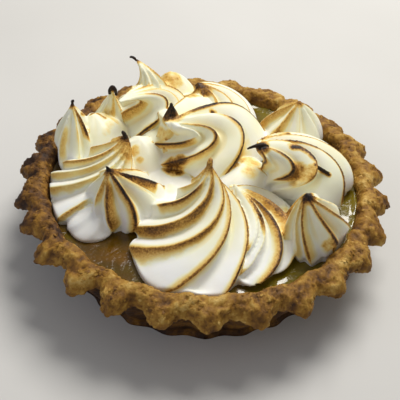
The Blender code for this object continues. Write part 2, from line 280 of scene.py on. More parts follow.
kisses = {
    "front": dict(
        foot=(-0.8, -24.8), radius=17.5, tip=(1.3, -13.0, 37.3), bend=1.0, outline=(1.45, 1.5),
        twist=1.6, groove=2.6, char=(5.0, 0.6), nose=0.9,
        ridges=(
            (133, 159, 1.12, 0.8, 0.35, 0.1, 0.22, 0.8), (165, 192, 1.0, 0.5, 0.9, 0.1, 0.06, 0.95),
            (185, 280, 1.03, 0.35, 0.7, 0.1, 0.02, 0.97, 0.35),
            (249, 210, 1.12, 0.5, 0.15, 0.45, 0.02, 0.9), (293, 248, 1.07, 0.9, 0.4, 0.4, 0.04, 0.7),
            (345, 230, 1.0, 0.4, 0.2), (35, 200, 0.95), (85, 170, 1.0, 0.3, 0.3, 0.1, 0.3, 0.9),
        ),
    ),
    "frontLeft": dict(
        foot=(-18.9, -11.6), radius=10.8, tip=(-24.4, -13.8, 33.3), bend=1.4, outline=(2.9, 1.8),
        twist=0.5, groove=2.4, char=(3.2, 1.0),
        ridges=(
            (165, 31, 1.0, 0.1, 0.1), (230, -4, 0.96, 0.3, 0.45),
            (252, 0, 0.94, 0.6, 0.75, 0.5, 0.05, 0.8), (273, 37, 0.89, 1.0, 0.5, 0.5, 0.05, 1.0),
            (322, 35, 1.0, 0.0, 0.0), (35, -13, 1.12, 1.0, 0.3, 0.9, 0.24, 0.97),
            (71, -10, 1.07, 0.5, 0.35), (119, 31, 1.0, 0.2, 0.1),
        ),
    ),
    "left": dict(
        foot=(-30.3, -6.6), radius=14.6, tip=(-20.6, -0.5, 33.2), bend=1.4, outline=(1.1, 0.86),
        twist=1.7, groove=2.6, char=(3.4, 0.95),
        ridges=(
            (129, 141, 0.95, 0.55, 0.25, 0.0, 0.1, 0.95), (155, 148, 0.95, 0.1, 0.4, 0.0, 0.15, 0.85),
            (182, 172, 1.0, 0.15, 0.4, 0.0, 0.15, 0.7), (240, 126, 1.06, 0.45, 0.5, 0.0, 0.02, 0.6),
            (290, 130, 1.0, 0.2, 0.3), (335, 130, 1.0, 0.2, 0.3), (25, 130, 1.0, 0.1, 0.5),
            (80, 130, 0.95),
        ),
    ),
    "farLeft": dict(
        foot=(-34.6, 6.5), radius=6.6, tip=(-36.5, 11.1, 34.0), bend=0.8, outline=(3.0, 1.4),
        twist=2.4, groove=1.2, char=(2.2, 1.0),
        ridges=(
            (184, 37, 0.94, 0.0, 0.1), (232, 15, 1.0, 0.15, 0.4, 0.0, 0.2, 0.7),
            (285, 17, 1.0, 0.0, 0.1), (321, 21, 0.96, 0.75, 0.1, 0.6, 0.35, 0.95),
            (52, 15, 1.0, 0.2, 0.2), (110, 18, 0.95, 0.1, 0.1),
        ),
    ),
    "peak": dict(
        foot=(-16.0, 25.0), radius=10.3, tip=(-21.5, 28.3, 37.9), bend=8.5, outline=(1.1, 0.78),
        twist=0.7, groove=1.6, char=(2.5, 1.0),
        ridges=(
            (7, 114, 0.98, 0.75, 0.1, 0.4, 0.05, 0.97), (45, 76, 1.0, 0.2, 0.4), (85, 72, 1.0),
            (122, 92, 1.02, 0.3, 0.1), (170, 68, 1.0, 0.0, 0.1), (215, 68, 1.0, 0.0, 0.1),
            (265, 68, 1.0, 0.0, 0.1), (310, 68, 1.0, 0.4, 0.5),
        ),
    ),
    "backLeft": dict(
        foot=(-14.9, 23.0), radius=15.6, tip=(-24.7, 9.1, 35.9), bend=7.7, outline=(1.3, 0.79),
        twist=2.6, groove=2.2, char=(2.0, 0.5),
        ridges=(
            (150, 101, 1.0, 0.1, 0.2), (195, 101, 1.04, 0.6, 0.5, 0.0, 0.1, 0.95),
            (240, 175, 1.0, 0.85, 0.4, 0.0, 0.05, 0.9), (285, 165, 1.0, 0.2, 0.2),
            (330, 155, 1.0, 0.65, 0.3, 0.2, 0.05, 0.9), (15, 155, 1.0, 0.2, 0.2), (60, 155, 1.0),
            (100, 155, 1.0),
        ),
    ),
    "centre": dict(
        foot=(-1.0, 13.0), radius=18.2, tip=(-9.8, 4.0, 34.9), bend=9.0, outline=(1.8, 0.5),
        twist=2.1, groove=2.8, char=(1.0, 0.0),
        ridges=(
            (178, 134, 1.05, 1.0, 0.6, 0.0, 0.1, 0.8), (217, 128, 1.0, 0.8, 0.5, 0.0, 0.1, 0.97),
            (287, 109, 0.87, 1.0, 1.0, 0.5, 0.08, 0.86), (22, 38, 1.13, 1.0, 0.25, 0.1, 0.0, 0.97),
            (70, 60, 1.0, 0.5, 0.3), (120, 110, 1.0, 0.1, 0.1),
        ),
    ),
    "centreTip": dict(
        foot=(-9.4, 7.4), radius=4.6, tip=(-9.8, 7.8, 38.2), bend=3.0, outline=(3.0, 1.1),
        twist=1.0, groove=0.4, char=(5.6, 1.0),
        ridges=plainRidges(70, 40),
    ),
    "right": dict(
        foot=(27.8, 2.8), radius=12.8, tip=(13.9, -4.1, 35.3), bend=3.0, outline=(2.4, 0.6),
        twist=2.5, groove=2.4, char=(3.0, 1.0), nose=0.4,
        ridges=(
            (140, 80, 1.0, 0.3, 0.1), (180, 80, 1.0, 0.8, 0.1, 0.6, 0.0, 0.95),
            (204, 143, 1.0, 0.9, 0.85, 0.0, 0.48, 0.97), (216, 227, 1.0, 0.5, 0.75, 0.0, 0.58, 0.85),
            (316, 119, 1.0, 0.75, 0.5, 0.0, 0.1, 1.0), (1, 119, 1.0, 0.55, 0.45),
            (46, 119, 1.0, 0.3, 0.1), (86, 119, 1.0, 0.3, 0.1),
        ),
    ),
    "backRight": dict(
        foot=(24.1, 21.6), radius=10.3, tip=(25.3, 22.2, 31.3), bend=2.8, outline=(2.2, 1.1),
        twist=1.0, groove=1.6, char=(2.2, 0.75),
        ridges=(
            (20, 9, 0.94, 0.1, 0.1), (65, 9, 1.0), (115, 9, 1.0), (165, 9, 1.0, 0.4, 0.5),
            (224, 9, 1.0, 0.35, 0.45), (275, 9, 0.95, 0.0, 0.1), (325, 9, 1.0, 0.0, 0.1),
        ),
    ),
    "back": dict(
        foot=(2.0, 26.5), radius=13.0, tip=(-3.5, 26.0, 32.5), bend=4.0, outline=(2.0, 0.9),
        twist=1.5, groove=1.6, char=(3.0, 0.9),
        ridges=tuple((angle, 120, 1.0) for angle in range(15, 360, 50)),
    ),
    "rightFront": dict(
        foot=(28.8, -19.4), radius=9.4, tip=(25.0, -20.5, 34.3), bend=3.0, outline=(1.92, 0.84),
        twist=1.29, groove=2.0, char=(3.2, 1.0), nose=0.8,
        ridges=(
            (22, -57, 1.02, 0.66, 0.3), (65, -60, 1.0, 0.1, 0.1), (115, -44, 1.0, 0.1, 0.1),
            (165, -44, 1.0, 0.2, 0.5), (210, -44, 1.0, 0.0, 0.2),
            (244, -54, 0.96, 0.0, 0.3, 0.0, 0.05, 0.9), (265, -55, 1.0, 0.62, 0.25, 0.35, 0.1, 1.0),
            (323, -46, 0.94, 0.7, 0.5, 0.1, 0.05, 1.0),
        ),
    ),
    "frontRight": dict(
        foot=(13.0, -19.6), radius=15.8, tip=(7.5, -12.2, 29.0), bend=1.3, outline=(2.43, 1.56),
        twist=1.0, groove=2.2, char=(1.0, 0.0),
        ridges=(
            (22, 94, 0.91, 0.6, 0.25), (60, 80, 0.9, 0.1, 0.1), (110, 80, 0.9, 0.0, 0.0),
            (155, 85, 0.9, 0.0, 0.0), (209, 142, 1.0, 0.0, 0.0),
            (243, 91, 1.1, 0.95, 0.25, 0.35, 0.6, 0.9), (264, 112, 1.14, 0.7, 0.25, 0.6, 0.12, 0.8),
            (299, 121, 0.88, 0.2, 0.2, 0.68, 0.06, 0.85),
        ),
    ),
    "middle": plainFold(
        foot=(-10.0, -3.0), radius=12.0, tip=(-12.0, -2.0, 22.6), bend=3.0, outline=(2.6, 0.6),
    ),
    "leftSkirt": plainFold(
        foot=(-28.0, -18.6), radius=6.4, tip=(-27.0, -16.0, 22.2), bend=1.0, outline=(2.2, 0.8),
    ),
    "innerFold": plainFold(
        foot=(-17.0, 4.0), radius=9.0, tip=(-17.5, 5.0, 28.0), bend=2.0, outline=(2.4, 0.8),
    ),
    "rightMiddle": plainFold(
        foot=(10.0, 1.0), radius=9.5, tip=(9.5, 1.5, 23.6), bend=1.0, outline=(2.6, 0.6),
    ),
    "loop": dict(
        foot=(-27.5, 19.5), radius=6.4, tip=(-26.3, 18.6, 34.0), bend=3.0, outline=(1.9, 1.5),
        twist=1.0, groove=0.8, char=(1.6, 1.0),
        ridges=(
            (10, 60, 1.0, 0.2, 0.3), (60, 60, 1.0, 0.1, 0.1), (110, 60, 1.0, 0.1, 0.1),
            (160, 60, 1.0, 0.1, 0.1), (205, 60, 1.0, 0.0, 0.0), (255, 60, 1.0, 0.2, 0.6),
            (310, 60, 1.0, 0.2, 0.6),
        ),
    ),
    "leftMiddle": plainFold(
        foot=(-28.5, 11.5), radius=9.0, tip=(-31.0, 13.0, 28.8), bend=3.0, outline=(2.4, 0.7),
    ),
    "backFold": plainFold(
        foot=(-9.5, 31.0), radius=7.5, tip=(-11.5, 32.5, 31.0), bend=2.0, outline=(2.6, 0.7),
        twist=1.0, turn=30,
    ),
}

# where the flame lingered: place, reach and strength
scorchSpots = (
    (-8.4, -1.2, 24.0, 3.0, 0.74), (-6.4, -0.8, 25.6, 2.4, 0.7), (-9.2, -0.9, 22.5, 2.3, 0.76),
    (-7.0, -0.9, 22.4, 2.1, 0.74),
    (17.1, -14.4, 24.4, 3.0, 0.5), (19.9, -15.4, 23.8, 3.4, 0.6), (22.0, -12.5, 22.5, 3.4, 0.5),
    (21.0, -19.2, 22.3, 3.4, 0.5), (24.4, -6.2, 29.0, 3.6, 0.6), (27.1, -6.8, 29.7, 3.2, 0.55),
    (22.2, -7.6, 28.0, 3.0, 0.5), (12.7, 4.0, 22.4, 4.4, 0.5), (11.9, 0.2, 23.0, 3.8, 0.46),
    (31.1, 5.9, 26.5, 2.5, 0.3), (-20.5, -3.0, 29.0, 4.0, 0.55), (32.0, -26.3, 22.9, 3.4, 0.55),
    (-1.0, 24.6, 31.2, 2.6, 0.7), (-15.0, -11.5, 25.5, 3.5, 0.35), (-13.7, -11.0, 24.5, 2.5, 0.3),
    (-28.0, 12.9, 27.9, 3.0, 0.35), (-11.4, 30.8, 29.9, 5.5, 0.5), (-16.0, 12.4, 25.8, 2.6, 0.3),
    (-12.6, 5.6, 29.4, 3.6, 0.5), (18.9, 15.8, 24.0, 2.5, 0.4), (-9.8, 7.4, 34.0, 3.4, 0.75),
    (-19.0, 1.6, 26.4, 2.6, 0.5), (-17.2, -0.6, 25.0, 1.6, 0.5), (-9.7, 4.6, 30.6, 2.2, 0.45),
    (-28.5, 15.5, 27.0, 3.4, 0.42), (-8.4, -7.6, 21.9, 2.6, 0.3),
    (-25.2, 14.6, 26.4, 2.6, 0.46), (-26.4, 11.4, 27.0, 2.6, 0.42), (-27.4, 8.6, 26.6, 2.6, 0.4),
)

# ends of crests that stay pale, where they leave a neighbour: place and reach
calmSpots = (
    (-12.9, -16.5, 23.3, 4.6), (-12.8, -17.3, 21.7, 4.0), (-6.4, -14.6, 25.9, 4.0),
    (-10.6, -9.7, 22.2, 2.4), (-31.7, 4.6, 23.7, 3.6), (-28.1, -14.0, 24.6, 3.6),
    (-25.8, -18.9, 22.4, 3.2), (-11.3, -8.6, 23.3, 1.6),
)

# short burnt crests: strength, half width and a path
scorchLines = (
    (0.97, 0.65, ((22.1, -1.2, 33.1), (24.0, -0.8, 32.9))),
    (0.75, 0.6, ((24.0, -0.8, 32.9), (26.8, -1.6, 32.1), (28.1, -3.1, 31.4))),
    (0.95, 0.45, ((28.2, -4.9, 30.6), (30.4, -3.7, 27.8), (32.3, -4.4, 27.2))),
    (0.95, 0.5, ((1.0, 13.4, 31.9), (2.2, 13.4, 31.8))),
    (0.6, 0.4, ((-34.0, 11.5, 29.8), (-30.9, 14.4, 28.3), (-28.0, 12.9, 27.9))),
    (0.7, 0.45, ((14.3, 1.1, 33.3), (18.6, 5.6, 32.4), (21.9, 8.0, 30.2))),
    (0.9, 0.6, ((-5.3, 19.9, 32.7), (-3.4, 22.1, 31.7), (-1.6, 22.6, 31.6))),
)

meringueLook = dict(
    levels=56, levelPower=0.9, samples=12,  # sections of a kiss, and points from a ridge to the next
    minGap=12.0, evenGap=45.0, reachPower=1.5,  # degrees between ridges, and how their reach fades
    # the valleys: where they lie between two ridges, their sides, and their limits near the tip
    valleyAt=0.38, swellPower=1.6, wideGroove=1.3, deepGroove=0.45, fadeRadius=0.45, fadePower=0.8,
    nose=0.55, tuck=0.1, tuckLevel=0.12,  # the rounded end, and the foot drawn in
    reach=40.9, clearance=21.0, lean=0.8, sunk=1.5,  # inside the rim up to the clearance
    voxel=0.42, cutBelow=0.4, snap=0.85, wobble=0.35, wobbleScale=90.0,
    # tonedGroove is the groove depth at which a valley's painted warm glow is full
    torchStart=0.1, torchEnd=0.06, softening=8, tonedGroove=1.5,
    charEdges=(0.25, 1.15), scorchEdges=(0.3, 1.5), calmEdges=(0.2, 1.2),  # as spot takes them
    lineEdges=(0.4, 1.3), haloEdges=(1.0, 3.5), haloStrength=0.5,  # burnt crests, and toast around them
    tones=(  # from pale to burnt
        (0.0, (0.93, 0.935, 0.95)), (0.13, (0.92, 0.915, 0.69)), (0.28, (0.88, 0.70, 0.27)),
        (0.43, (0.74, 0.46, 0.11)), (0.58, (0.50, 0.255, 0.042)), (0.74, (0.22, 0.095, 0.014)),
        (0.88, (0.065, 0.024, 0.005)), (1.0, (0.009, 0.005, 0.003)),
    ),
)
torchFields = ("torchLine", "torchBelow", "torchAbove")


def ridgeAngles(kiss, level):
    # in order around the kiss, so that no ridge crosses the next
    angles = []
    last = -math.inf
    for foot, turn in (ridge[:2] for ridge in kiss["ridges"]):
        start = math.radians(foot)
        while start < last:
            start += 2 * math.pi
        last = start
        angles.append(start + math.radians(turn) * level ** kiss["twist"])
    gap = math.radians(meringueLook["minGap"])
    for i in range(1, len(angles)):
        angles[i] = max(angles[i], angles[i - 1] + gap)
    span = angles[-1] - angles[0]
    squeeze = min(1.0, (2 * math.pi - gap) / span)
    return angles[0] + (np.array(angles) - angles[0]) * squeeze


def outlineAt(kiss, level):
    # radius and height of a kiss, without its grooves
    first, second = kiss["outline"]
    radius = kiss["radius"] * max(0.0, 1 - level**first) ** second
    if level < meringueLook["tuckLevel"]:
        radius *= 1 - meringueLook["tuck"] * (1 - level / meringueLook["tuckLevel"]) ** 2
    base = kissBase / mm
    height = base + (kiss["tip"][2] - base) * level
    nose = kiss.get("nose", meringueLook["nose"])  # so that the tip isn't a needle
    below = max(0.0, nose - (kiss["tip"][2] - height))
    return max(radius, math.sqrt(max(0.0, nose**2 - below**2))), height


def kissRow(kiss, level):
    # one section of a kiss: points in mm, and for each point its share, gap and torching
    look = meringueLook
    step = 0.001
    radius, height = outlineAt(kiss, level)
    lowRadius, lowHeight = outlineAt(kiss, max(0.0, level - step))
    highRadius, highHeight = outlineAt(kiss, min(1.0, level + step))
    normal = Vector((highHeight - lowHeight, lowRadius - highRadius)).normalized()
    foot, tip = np.array(kiss["foot"]), np.array(kiss["tip"][:2])
    centre = foot + (tip - foot) * level ** kiss["bend"]
    angles = ridgeAngles(kiss, level)
    gaps = (np.roll(angles, -1) - angles) % (2 * math.pi)
    share = np.arange(look["samples"]) / look["samples"]  # from 0 on a ridge towards 1 on the next
    fade = min(1.0, radius / (look["fadeRadius"] * kiss["radius"])) ** look["fadePower"]
    wide = np.minimum(look["wideGroove"], np.sqrt(gaps / math.radians(look["evenGap"])))
    torch = np.array([(ridge + plainTorch[len(ridge) - 3:])[3:] for ridge in kiss["ridges"]], float)
    groove = np.minimum(kiss["groove"] * wide * fade, look["deepGroove"] * radius)[:, None] * torch[:, 5:]
    at = look["valleyAt"]
    steep = np.sin(0.5 * math.pi * np.minimum(share / at, 1.0))
    swell = (1 - np.clip((share - at) / (1 - at), 0.0, 1.0)) ** look["swellPower"]
    sunk = groove * np.where(share < at, steep, swell)
    late = (1 - level) ** look["reachPower"]
    reach = np.array([1 + (ridge[2] - 1) * late for ridge in kiss["ridges"]])[:, None]
    reach = reach * (1 - share) + np.roll(reach, -1, 0) * share
    turn = angles[:, None] + gaps[:, None] * share
    out = radius * reach - normal.x * sunk
    x = centre[0] + out * np.cos(turn)
    y = centre[1] + out * np.sin(turn)
    z = height - normal.y * sunk
    far = np.maximum(np.hypot(x, y), 0.001)
    limit = look["reach"] + look["lean"] * np.maximum(0.0, z - look["clearance"])
    pull = np.minimum(1.0, limit / far)
    start, end = look["torchStart"], look["torchEnd"]
    shown = smoothstep(level, torch[:, 3] - end, torch[:, 3] + start)
    shown = shown * (1 - smoothstep(level, torch[:, 4] - end, torch[:, 4] + end))
    line, below, above = (torch[:, :3] * shown[:, None]).T[:, :, None]
    nearer = np.where(share < 0.5, line, np.roll(line, -1, 0))
    ahead = np.where(share > 0, np.roll(above, -1, 0), above)
    circle = 2 * math.pi * share + 0 * gaps[:, None]
    fields = {
        "shareCos": np.cos(circle), "shareSin": np.sin(circle),
        "gapWidth": gaps[:, None] * radius + 0 * share,
        "torchLine": nearer, "torchBelow": below + 0 * share, "torchAbove": ahead,
        # how deeply the kiss is grooved, which sets the painted warm glow in its valleys
        "valleyTone": min(1.0, kiss["groove"] / look["tonedGroove"]) + 0 * circle,
    }
    points = np.stack([x * pull, y * pull, z], -1).reshape(-1, 3)
    return points, {name: field.ravel() for name, field in fields.items()}


def pipeKisses():
    # all kisses as closed lofts in one mesh
    points, faces, fields = [], [], {}
    for kiss in kisses.values():
        count = len(kiss["ridges"]) * meringueLook["samples"]
        first = sum(len(block) for block in points)
        steps = meringueLook["levels"]
        levels = [(i / steps) ** meringueLook["levelPower"] for i in range(steps)]
        rows = [kissRow(kiss, level) for level in levels]
        under = rows[0][0] * (1, 1, 0) + (0, 0, kissBase / mm - meringueLook["sunk"])
        rows.insert(0, (under, rows[0][1]))
        for block, marks in rows:
            points.append(block)
            for name, field in marks.items():
                fields.setdefault(name, []).append(field)
        ends = np.array([(*kiss["foot"], kissBase / mm - meringueLook["sunk"]), kiss["tip"]])
        points.append(ends)
        for name, column in fields.items():
            column.append(np.full(2, 1.0 if name == "shareCos" else 0.0))
        top = first + count * len(rows)
        for i in range(count):
            j = (i + 1) % count
            faces.append((first + j, first + i, top))
            faces.append((top - count + i, top - count + j, top + 1))
        low = first + np.arange(count)[None, :] + count * np.arange(len(rows) - 1)[:, None]
        right = np.roll(low, -1, 1)
        faces += np.stack([low, right, right + count, low + count], -1).reshape(-1, 4).tolist()
    mesh = bpy.data.meshes.new("kissLofts")
    mesh.from_pydata((np.concatenate(points) * mm).tolist(), [], faces)
    for name, column in fields.items():
        storeFloat(mesh, name, np.concatenate(column))
    return newObject("kissLofts", mesh)


def oneSkin(lofts):
    # an even skin over all the kisses, cut flat just under the curd's surface
    skin = newObject("meringueTop", lofts.data.copy())
    remesh = skin.modifiers.new("oneSkin", "REMESH")
    remesh.mode = "VOXEL"
    remesh.voxel_size = meringueLook["voxel"] * mm
    depsgraph = bpy.context.evaluated_depsgraph_get()
    skin.data = bpy.data.meshes.new_from_object(skin.evaluated_get(depsgraph))
    skin.modifiers.clear()
    bm = bmesh.new()
    bm.from_mesh(skin.data)
    level = curdTop - meringueLook["cutBelow"] * mm
    everything = bm.verts[:] + bm.edges[:] + bm.faces[:]
    bmesh.ops.bisect_plane(
        bm, geom=everything, plane_co=(0, 0, level), plane_no=(0, 0, 1), clear_inner=True,
    )
    rim = [edge for edge in bm.edges if edge.is_boundary]
    bmesh.ops.contextual_create(bm, geom=rim)
    bmesh.ops.triangulate(bm, faces=[face for face in bm.faces if len(face.verts) > 4])
    bmesh.ops.recalc_face_normals(bm, faces=bm.faces)
    bm.to_mesh(skin.data)
    bm.free()
    return skin


def carryTree():
    # snaps the skin to the lofts and carries their fields over to it
    bench, wires = geometryTree("carryTorching", {
        "Lofts": "Object", "Snap": "Float", "Softening": "Int", "Wobble": "Float",
        "Wobble Scale": "Float", "Meringue": "Material",
    })
    source = bench.geometryOf(wires["Lofts"])

    def nearest(value, kind="FLOAT"):
        sockets = {"Mesh": source, "Value": value}
        return bench.add("GeometryNodeSampleNearestSurface", {"data_type": kind}, sockets)

    geometry = wires["Geometry"]
    for name in ("shareCos", "shareSin", "gapWidth", *torchFields, "valleyTone"):
        geometry = bench.store(geometry, name, nearest(bench.named(name)))
    for name in torchFields:  # no hard edge where one kiss meets the next
        sockets = {"Value": bench.named(name), "Iterations": wires["Softening"]}
        soft = bench.add("GeometryNodeBlurAttribute", {"data_type": "FLOAT"}, sockets)
        geometry = bench.store(geometry, name, soft)
    place = bench.add("GeometryNodeInputPosition")
    sockets = {"Factor": wires["Snap"], 4: place, 5: nearest(place, "FLOAT_VECTOR")}
    snapped = bench.add("ShaderNodeMix", {"data_type": "VECTOR"}, sockets, 1)
    geometry = bench.add("GeometryNodeSetPosition", None, {"Geometry": geometry, "Position": snapped})
    sockets = {"Vector": place, "Scale": wires["Wobble Scale"], "Detail": 2.0}
    wobble = bench.add("ShaderNodeTexNoise", None, sockets)
    geometry = bench.swell(geometry, (wobble - 0.5) * wires["Wobble"])
    closeTree(bench, geometry, wires["Meringue"])
    return bench.tree


def torchMeringue(mesh):
    # burnt tips and the spots where the flame lingered, as fields on the skin
    look = meringueLook
    points = readPoints(mesh) / mm
    char = np.zeros(len(points))
    for kiss in kisses.values():
        length, strength = kiss["char"]
        char = np.maximum(char, strength * spot(points, kiss["tip"], length, look["charEdges"]))
    scorch = np.zeros(len(points))
    for x, y, z, reach, strength in scorchSpots:
        scorch = np.maximum(scorch, strength * spot(points, (x, y, z), reach, look["scorchEdges"]))
    for strength, width, path in scorchLines:
        for start, end in zip(np.array(path), np.array(path)[1:]):
            run = end - start
            along = np.clip((points - start) @ run / (run @ run), 0.0, 1.0)
            nearest = start + along[:, None] * run
            char = np.maximum(char, strength * spot(points, nearest, width, look["lineEdges"]))
            halo = look["haloStrength"] * spot(points, nearest, width, look["haloEdges"])
            scorch = np.maximum(scorch, halo)
    for name in torchFields:
        field = readFloat(mesh, name)
        for x, y, z, reach in calmSpots:
            field *= 1 - spot(points, (x, y, z), reach, look["calmEdges"])
        storeFloat(mesh, name, field)
    storeFloat(mesh, "tipChar", char)
    storeFloat(mesh, "scorch", scorch)


def meringueMaterial():
    paint = Paint("torchedMeringue", {
        "Subsurface Weight": 0.12, "Subsurface Radius": (1.1, 0.95, 0.8), "Subsurface Scale": 1.2 * mm,
        "Specular IOR Level": 0.35,
    })
    place = paint.place
    wander = place.grain(2.2 * mm) - 0.5
    patchy = place.grain(5.0 * mm)
    blotch = place.grain(1.1 * mm, 3.0, 0.6)
    speck = place.grain(0.26 * mm, 3.0, 0.65)
    share = paint.maths("ARCTAN2", paint.field("shareSin"), paint.field("shareCos")) * (0.5 / math.pi)
    offCrest = share * paint.field("gapWidth") + wander * 0.6
    line, below, above = (paint.field(name) for name in torchFields)
    crest = abs(offCrest + 0.25).rise(0.4 + 0.5 * line, 0.1) * line * (0.7 + 0.6 * patchy)
    ragged = share + wander * 0.2 + (blotch - 0.5) * 0.14 + (speck - 0.5) * 0.06
    fade = ragged.rise(0.28 + 0.36 * below, 0.02)
    flankBelow = offCrest.rise(-0.3, 0.2) * fade * below * (0.45 + 1.1 * patchy)
    fade = (-offCrest + (blotch - 0.5) * 1.6).rise(1.5 + 4.0 * above, 0.2)
    flankAbove = (-offCrest).rise(-0.3, 0.1) * fade * above
    scorch = paint.field("scorch") * (0.7 + 0.6 * blotch)
    scorched = (scorch + wander * 0.6 * scorch).rise(0.0, 0.8) * scorch
    halo = abs(offCrest).rise(2.6, 0.2) * line.atLeast(below) * 0.28
    clear = (1 - crest * 0.97) * (1 - flankBelow * 0.8) * (1 - flankAbove * 0.8)
    clear = clear * (1 - scorched) * (1 - halo)
    toast = 1 - clear * (1 - paint.field("tipChar"))
    grainy = toast + (speck - 0.5) * 0.8 * toast.rise(0.2, 0.6)
    grainy = grainy + (blotch - 0.5) * 0.3 * toast.rise(0.1, 0.5)
    height = place.split().part("Z")
    # a cream tone: random patches of the meringue's own cream plus a painted warm glow in the deep
    # valleys, weak low down and full on the higher parts as painted warm light from above
    valley = (1 - abs(share - 0.36).rise(0.0, 0.22)) * paint.field("valleyTone")
    creamAndWarmLight = (0.02 + 0.18 * patchy + 0.09 * valley) * (0.25 + 0.75 * height.rise(20.5 * mm, 26 * mm))
    paint.tones(meringueLook["tones"], grainy.atLeast(creamAndWarmLight))
    paint.feed("Roughness", 0.46 + 0.1 * toast + 0.2 * (speck - 0.5))
    relief = speck * toast * 0.9 + patchy * 0.2 + blotch * (0.12 + 0.3 * toast)
    paint.bump(relief, 0.5, 0.25 * mm)
    return paint.material


meringuePaint = meringueMaterial()
lofts = pipeKisses()
meringueTop = oneSkin(lofts)
runTree(meringueTop, carryTree(), {
    "Lofts": lofts, "Snap": meringueLook["snap"], "Softening": meringueLook["softening"],
    "Wobble": meringueLook["wobble"] * mm, "Wobble Scale": meringueLook["wobbleScale"],
    "Meringue": meringuePaint,
})
bpy.data.objects.remove(lofts)
torchMeringue(meringueTop.data)
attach(meringueTop, "root")
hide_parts("meringue")
print("meringue", len(meringueTop.data.vertices), "points")


# Hooks, an arch and a stroke of charred sugar on the kisses: paths in mm, each point with its half
# thickness.
burntPaths = (
    ((15.6, -3.3, 34.3, 0.5), (13.8, -4.1, 35.3, 0.55), (12.2, -4.7, 35.3, 0.4),
     (10.4, -5.3, 34.7, 0.18)),
    ((-20.9, 28.2, 37.0, 0.25), (-21.5, 28.3, 37.7, 0.34), (-22.2, 28.3, 38.0, 0.32),
     (-22.8, 28.2, 37.9, 0.2)),
    ((-36.4, 11.1, 33.2, 0.25), (-36.4, 11.1, 33.9, 0.4), (-36.2, 11.1, 34.3, 0.36),
     (-36.1, 11.1, 34.6, 0.18)),
    ((-20.8, -1.4, 32.6, 0.35), (-21.2, -1.0, 33.4, 0.5), (-21.6, -0.7, 33.9, 0.45),
     (-21.8, -0.6, 34.2, 0.2)),
    ((-27.3, 18.2, 32.2, 0.35), (-27.3, 18.4, 33.3, 0.42), (-26.6, 18.6, 34.2, 0.6),
     (-25.8, 18.4, 33.5, 0.5), (-25.5, 18.2, 32.0, 0.35)),
    ((27.8, -4.9, 30.6, 0.25), (29.2, -4.4, 29.4, 0.42), (30.8, -3.9, 28.1, 0.42),
     (32.2, -4.3, 27.6, 0.3)),
)
burntLook = {"Sides": 20, "Smoothness": 8, "Roughening": 0.35 * mm}
burntTones = ((0.3, (0.006, 0.004, 0.003)), (0.55, (0.02, 0.009, 0.004)), (0.8, (0.09, 0.04, 0.01)))


def strandTree():
    # a tapered tube along each path, closed at both ends
    bench, wires = geometryTree("taperedStrands", {
        "Sides": "Int", "Smoothness": "Int", "Roughening": "Float", "Char": "Material",
    })
    curve = bench.add("GeometryNodeMeshToCurve", None, {"Mesh": wires["Geometry"]})
    curve = bench.add("GeometryNodeCurveSplineType", {"spline_type": "CATMULL_ROM"}, {"Curve": curve})
    sockets = {"Geometry": curve, "Resolution": wires["Smoothness"]}
    curve = bench.add("GeometryNodeSetSplineResolution", None, sockets)
    sockets = {"Resolution": wires["Sides"], "Radius": 1.0}
    ring = bench.add("GeometryNodeCurvePrimitiveCircle", None, sockets)
    sockets = {"Curve": curve, "Profile Curve": ring, "Fill Caps": True, "Scale": bench.named("thick")}
    geometry = bench.add("GeometryNodeCurveToMesh", None, sockets)
    grain = bench.add("GeometryNodeInputPosition").grain(0.7 * mm)
    geometry = bench.swell(geometry, (grain - 0.5) * wires["Roughening"])
    closeTree(bench, geometry, wires["Char"])
    return bench.tree


def strandPaths(name, paths):
    # the paths as edges only, with the half thickness as a field
    points, edges, thick = [], [], []
    for path in paths:
        edges += [(len(points) + i, len(points) + i + 1) for i in range(len(path) - 1)]
        points += [(x * mm, y * mm, z * mm) for x, y, z, _ in path]
        thick += [half * mm for _, _, _, half in path]
    mesh = bpy.data.meshes.new(name)
    mesh.from_pydata(points, edges, [])
    storeFloat(mesh, "thick", thick)
    return newObject(name, mesh)


def charMaterial():
    paint = Paint("charredSugar", {"Specular IOR Level": 0.3})
    grain = paint.place.grain(0.4 * mm, 3.0, 0.65)
    paint.tones(burntTones, grain)
    paint.feed("Roughness", 0.45 + 0.3 * grain)
    paint.bump(grain, 0.6, 0.2 * mm)
    return paint.material


burntTips = strandPaths("burntTips", burntPaths)
runTree(burntTips, strandTree(), {**burntLook, "Char": charMaterial()})
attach(burntTips, "root")
print("burnt tips", len(burntTips.data.vertices), "points")


# The crust is a fluted shell with a ragged rim; sizes in mm, angles in degrees.
crustLook = dict(
    flutes=26, firstFlute=-86.1, seed=4, fluteGain=(0.75, 1.15), fluteLean=0.16,
    rimWidth=6.4, droop=1.3, baseRadius=36.0, floor=4.5, lipInset=1.9, relief=1.3,
    columnsPerFlute=28, rowStep=0.42, hiddenStep=4.0, burnAndShadeEdges=(0.3, 1.3),
    tones=(
        (0.0, (0.030, 0.010, 0.002)), (0.2, (0.090, 0.034, 0.004)), (0.4, (0.195, 0.086, 0.009)),
        (0.56, (0.30, 0.145, 0.016)), (0.74, (0.43, 0.24, 0.040)), (1.0, (0.62, 0.42, 0.13)),
    ),
)
crumbLook = {"Spacing": 0.5 * mm, "Density": 1.3e6, "Small": 0.18 * mm, "Large": 0.52 * mm, "Seed": 7}
rimTop = crustHigh.z - 0.5 * mm

# dark burnt tabs on the rim, and painted shade in its hollows: angle, radius, height, reach and strength
rimBurnsAndShade = (
    (169.7, 48.5, 18.5, 2.6, 0.7), (174.4, 48.5, 18.5, 2.4, 0.6), (162.0, 47.5, 18.5, 2.6, 0.45),
    (-31.9, 47.6, 16.5, 2.2, 0.8), (-38.8, 47.6, 16.0, 2.2, 0.7), (-46.0, 47.5, 15.5, 2.0, 0.4),
    (-167.0, 48.0, 16.5, 2.4, 0.4), (30.0, 48.5, 17.5, 2.4, 0.4), (12.0, 48.5, 17.5, 2.4, 0.35),
)


